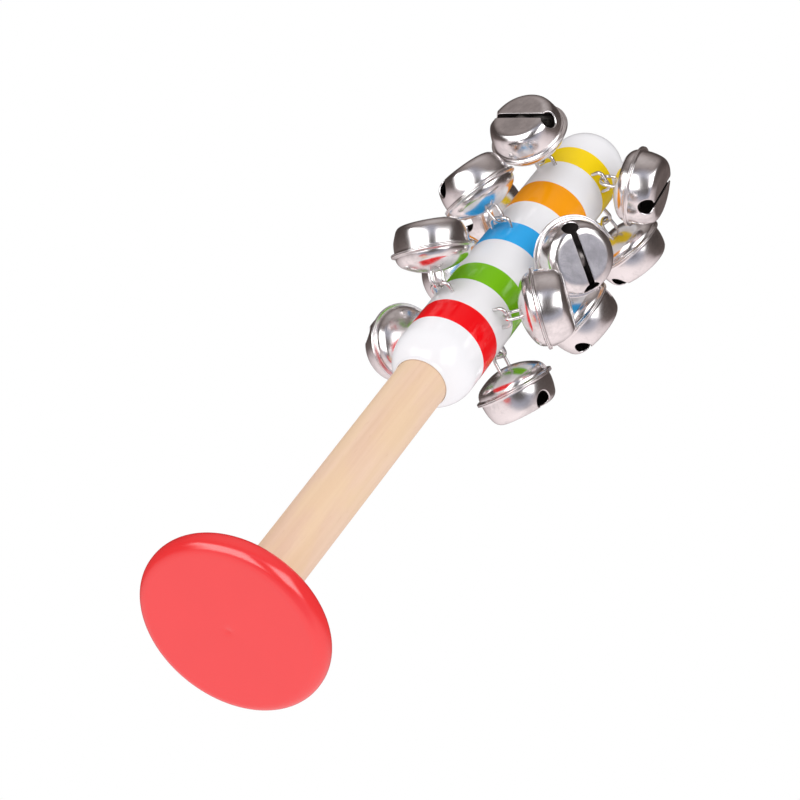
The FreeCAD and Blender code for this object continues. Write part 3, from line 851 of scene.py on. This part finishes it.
def make_slotted_cup(name, place, seed, outside, inside):
    """The cup that rings, as one closed sheet whose grid runs round the slot's edge.

    Each column of the grid goes out from the slot's edge over the outside, round the rim, back
    over the inside, and round the sheet's thickness at the slot. A row of a column is a point
    and its material: 0 outside, 1 inside.
    """
    section = slotted_section()
    shell = SHELL / MM
    wall_end = section[0][-1]

    def on_sheet(flat, depth, dents=SHEET_DENT):
        """A point of the flat disc, on the bent sheet at that depth in millimetres."""
        distance = math.hypot(*flat)
        angle = math.atan2(flat[1], flat[0])
        radius, level, lean = (float(np.interp(distance, section[0], row)) for row in section[1:])
        spot = Vector((radius * math.cos(angle), radius * math.sin(angle), level)) * MM
        to_rim = max(0.0, wall_end - distance)
        depth -= dent(spot, seed, dents) * min(1.0, to_rim / 2)
        radius -= math.sin(lean) * depth
        level -= math.cos(lean) * depth
        return (radius * math.cos(angle) * MM, radius * math.sin(angle) * MM, level * MM)

    def spread(edge, outer, first, count):
        """Points from the slot's edge to the disc's circle, closer at the edge and the corner."""
        length = np.linalg.norm(outer - edge)
        steps = np.linspace(first, length, FINE_STEPS)
        reach = np.linalg.norm(edge + np.outer(steps / length, outer - edge), axis=1)
        from_corner = reach - CORNER_START
        bent = (from_corner > -CORNER_MARGIN) & (from_corner < CORNER_LENGTH + CORNER_MARGIN)
        weight = 1 + CORNER_CROWDING * bent
        weight = weight + EDGE_CROWDING * np.exp(-(steps - first) / EDGE_CROWDING_REACH)
        total = np.concatenate([[0], np.cumsum((weight[1:] + weight[:-1]) / 2)])
        wanted = np.interp(np.linspace(0, total[-1], count), total, steps)
        return [edge + (outer - edge) * (step / length) for step in wanted]

    # The wall's own rows stand in for the start of the rim's fillet.
    rim = rim_edge(1)[2:] + [(CUP_RADIUS - SHELL + INNER_FOOT_STEP, SEAM)]
    outside_wall = np.linspace(SHEET_EDGE, wall_end - OUTSIDE_WALL_STOP, OUTSIDE_WALL_ROWS)[1:]
    inside_wall = np.linspace(wall_end - INSIDE_WALL_STOP, SHEET_EDGE, INSIDE_WALL_ROWS)
    grid = []
    for edge, outer, rounding in slot_columns():
        edge = np.array(edge)
        outer = np.array(outer)
        away = (outer - edge) / np.linalg.norm(outer - edge)
        radial = outer / SHEET_EDGE
        column = [(on_sheet(flat, 0), 0) for flat in spread(edge, outer, rounding, OUTSIDE_ROWS)]
        column += [(on_sheet(radial * reach, 0), 0) for reach in outside_wall]
        column += [((radius * radial[0], radius * radial[1], level), 0) for radius, level in rim]
        column += [(on_sheet(radial * reach, shell, 0.0), 1) for reach in inside_wall]
        for flat in spread(edge, outer, INSIDE_ROUNDING, INSIDE_ROWS)[-2::-1]:
            column.append((on_sheet(flat, shell, 0.0), 1))
        column.append((on_sheet(edge, shell - INSIDE_ROUNDING), 1))
        for turn in np.radians(ROUNDING_TURNS):
            flat = edge + away * rounding * (1 - math.sin(turn))
            column.append((on_sheet(flat, rounding * (1 - math.cos(turn))), 0))
        grid.append(column)

    height = len(grid[0])
    points = [point for column in grid for point, _ in column]
    faces = []
    slots = []
    for c, column in enumerate(grid):
        here = c * height
        there = (c + 1) % len(grid) * height
        for r, (_, slot) in enumerate(column):
            up = (r + 1) % height
            faces.append((here + r, there + r, there + up, here + up))
            slots.append(slot)
    turned = place @ Matrix.Rotation(math.radians(SLOT_TURNS[name]), 4, "Z")
    piece = f"bell_{name}_ringing_cup"
    return new_piece(piece, points, faces, [outside, inside], slots, turned)


# ---- assembly ----

SEED_STEP = Vector((3.1, 7.7, 1.3))


def settle_in(piece, body, node):
    """Puts a piece on its body, in the place of its CAD node."""
    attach(piece, body)
    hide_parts(node)


def dress(node, material):
    """Gives a CAD node its finish."""
    piece = frame["nodes"][node]
    piece.data.materials.clear()
    piece.data.materials.append(material)


bpy.context.scene.view_settings.view_transform = "Standard"
make_studio(*make_camera())
make_floor()

white_paint = paint("white_paint", rgb(0.885, 0.89, 0.89), unevenness=0.03)
red_paint = paint("foot_paint", rgb(0.84, 0.028, 0.03), 0.19, 0.9, 0.02)
settle_in(make_foot(red_paint), "stick", "foot")
settle_in(make_handle(bare_wood()), "stick", "handle")
settle_in(make_head(white_paint), "stick", "head")

plate = steel("nickel_plate", rgb(0.87, 0.835, 0.83), 0.2, 0.78, 30.0)
# The cups' inner faces: steel painted far darker than the plated outside, as painted shade inside
# the hollow bell.
inside = steel("painted_shade_inside", rgb(0.22, 0.2, 0.19), 0.45, 0.6)
wire = steel("steel_wire", rgb(0.8, 0.78, 0.77), 0.2, 0.75)
ball = steel("steel_ball", rgb(0.24, 0.22, 0.21), 0.45, 0.7)
dress("staples", wire)
for number, name in enumerate(BELL_NAMES):
    body = f"bell_{name}"
    place = bell_frame(name)
    seed = number * SEED_STEP
    dome = make_dome_cup(name, place, seed, plate, inside)
    settle_in(dome, body, f"{body}_dome_cup")
    cup = make_slotted_cup(name, place, seed, plate, inside)
    settle_in(cup, body, f"{body}_slotted_cup")
    dress(f"{body}_shank_loop", wire)
    dress(f"{body}_pellet", ball)
